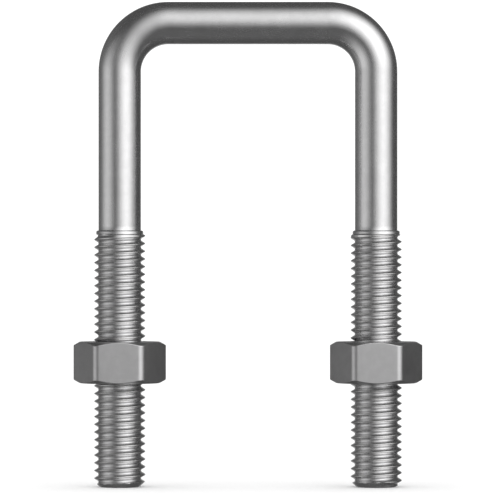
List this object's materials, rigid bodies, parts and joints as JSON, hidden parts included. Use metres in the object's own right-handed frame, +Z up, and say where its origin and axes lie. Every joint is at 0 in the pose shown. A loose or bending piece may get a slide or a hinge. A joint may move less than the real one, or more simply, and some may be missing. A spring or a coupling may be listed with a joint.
{
  "type": "u-bolt",
  "caption": "Square-crown U-bolt of bent round steel bar, both legs threaded, with a plain hex nut on each leg.",
  "frame": {"origin": "midway between the two leg axes, level with the leg ends", "axes": "+Z up the legs from their ends to the crown; +X from the left leg to the right leg; -Y is the front, towards which one flat of each nut faces"},
  "size_m": [0.068, 0.016, 0.0946],
  "materials": {
    "bar_steel": "satin zinc plating",
    "nut_steel": "dull zinc plating"
  },
  "bodies": {
    "bolt": {"u_rod": "bar_steel"},
    "left_nut": {"left_nut": "nut_steel"},
    "right_nut": {"right_nut": "nut_steel"}
  },
  "joints": [
    {"name": "left_nut_travel", "type": "slide", "parent": "bolt", "child": "left_nut", "axis": [0, 0, 1], "range_m": [-0.0195, 0.0165]},
    {"name": "right_nut_travel", "type": "slide", "parent": "bolt", "child": "right_nut", "axis": [0, 0, 1], "range_m": [-0.0195, 0.0165]}
  ]
}
